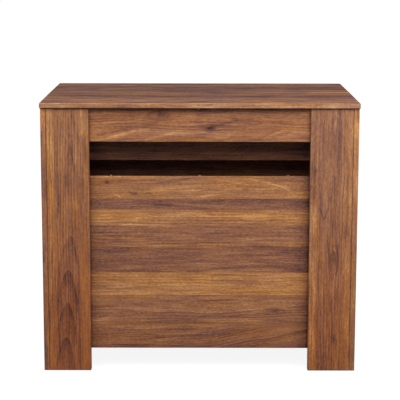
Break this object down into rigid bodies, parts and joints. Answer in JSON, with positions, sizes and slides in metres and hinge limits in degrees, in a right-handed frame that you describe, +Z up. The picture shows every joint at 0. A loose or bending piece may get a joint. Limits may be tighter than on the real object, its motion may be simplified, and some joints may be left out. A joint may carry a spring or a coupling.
{
  "type": "extendable console table",
  "caption": "Walnut-laminate console table whose front half draws out on telescopic runners, with loose extension leaves stored on edge inside and a slot under the fascia.",
  "frame": {"origin": "on the floor under the middle of the closed table", "axes": "+Z up, +X to the right of someone who faces the front, +Y to the back; the front faces -Y"},
  "size_m": [0.9, 0.56, 0.78],
  "materials": {
    "walnut": "satin walnut laminate",
    "walnut_top": "satin walnut laminate",
    "runner_aluminium": "anodised",
    "zinc_steel": "zinc plated",
    "beech": "raw",
    "pale_plastic": "matte",
    "dark_plastic": "matte"
  },
  "bodies": {
    "rear_unit": {"rear_top": "walnut_top", "rear_fascia": "walnut", "rear_lower_panel": "walnut", "rear_cross_rail": "walnut", "rear_leg_left": "walnut", "rear_leg_right": "walnut", "rear_side_panel_left": "walnut", "rear_side_panel_right": "walnut", "rear_runner_left": "runner_aluminium", "rear_runner_right": "runner_aluminium", "rear_bracket_left": "zinc_steel", "rear_bracket_right": "zinc_steel", "rear_glide_left_inner": "dark_plastic", "rear_glide_left_outer": "dark_plastic", "rear_glide_right_inner": "dark_plastic", "rear_glide_right_outer": "dark_plastic", "leaf_shelf": "walnut", "leaf_guide": "dark_plastic"},
    "front_unit": {"front_top": "walnut_top", "front_fascia": "walnut", "front_lower_panel": "walnut", "front_cross_rail": "walnut", "front_leg_left": "walnut", "front_leg_right": "walnut", "front_side_panel_left": "walnut", "front_side_panel_right": "walnut", "front_runner_left": "runner_aluminium", "front_runner_right": "runner_aluminium", "front_bracket_left": "zinc_steel", "front_bracket_right": "zinc_steel", "front_glide_left_inner": "dark_plastic", "front_glide_left_outer": "dark_plastic", "front_glide_right_inner": "dark_plastic", "front_glide_right_outer": "dark_plastic", "top_dowel_left": "beech", "top_dowel_middle": "beech", "top_dowel_right": "beech", "panel_plug_left": "pale_plastic", "panel_plug_middle": "pale_plastic", "panel_plug_right": "pale_plastic"},
    "runner_stage_1": {"stage_1_runner_left": "runner_aluminium", "stage_1_runner_right": "runner_aluminium", "stage_1_cross_bar": "zinc_steel"},
    "runner_stage_2": {"stage_2_runner_left": "runner_aluminium", "stage_2_runner_right": "runner_aluminium", "stage_2_cross_bar": "zinc_steel"},
    "runner_stage_3": {"stage_3_runner_left": "runner_aluminium", "stage_3_runner_right": "runner_aluminium", "stage_3_cross_bar": "zinc_steel"},
    "runner_stage_4": {"stage_4_runner_left": "runner_aluminium", "stage_4_runner_right": "runner_aluminium", "stage_4_cross_bar": "zinc_steel"},
    "stored_leaf_1": {"leaf_1": "walnut_top"},
    "stored_leaf_2": {"leaf_2": "walnut_top"},
    "stored_leaf_3": {"leaf_3": "walnut_top"},
    "stored_leaf_4": {"leaf_4": "walnut_top"}
  },
  "joints": [
    {"name": "front_slide", "type": "slide", "parent": "rear_unit", "child": "front_unit", "axis": [0, -1, 0], "range_m": [0, 1.85]},
    {"name": "stage_1_slide", "type": "slide", "parent": "rear_unit", "child": "runner_stage_1", "axis": [0, -1, 0], "range_m": [0, 0.371]},
    {"name": "stage_2_slide", "type": "slide", "parent": "rear_unit", "child": "runner_stage_2", "axis": [0, -1, 0], "range_m": [0, 0.741]},
    {"name": "stage_3_slide", "type": "slide", "parent": "rear_unit", "child": "runner_stage_3", "axis": [0, -1, 0], "range_m": [0, 1.111]},
    {"name": "stage_4_slide", "type": "slide", "parent": "rear_unit", "child": "runner_stage_4", "axis": [0, -1, 0], "range_m": [0, 1.481]},
    {"name": "leaf_1_slide", "type": "slide", "parent": "rear_unit", "child": "stored_leaf_1", "axis": [1, 0, 0], "range_m": [0, 0.91]},
    {"name": "leaf_2_slide", "type": "slide", "parent": "rear_unit", "child": "stored_leaf_2", "axis": [1, 0, 0], "range_m": [0, 0.91]},
    {"name": "leaf_3_slide", "type": "slide", "parent": "rear_unit", "child": "stored_leaf_3", "axis": [1, 0, 0], "range_m": [0, 0.91]},
    {"name": "leaf_4_slide", "type": "slide", "parent": "rear_unit", "child": "stored_leaf_4", "axis": [1, 0, 0], "range_m": [0, 0.91]}
  ],
  "couplings": [
    {"joint": "stage_1_slide", "follows": "front_slide", "ratio": 0.2},
    {"joint": "stage_2_slide", "follows": "front_slide", "ratio": 0.4},
    {"joint": "stage_3_slide", "follows": "front_slide", "ratio": 0.6},
    {"joint": "stage_4_slide", "follows": "front_slide", "ratio": 0.8}
  ]
}
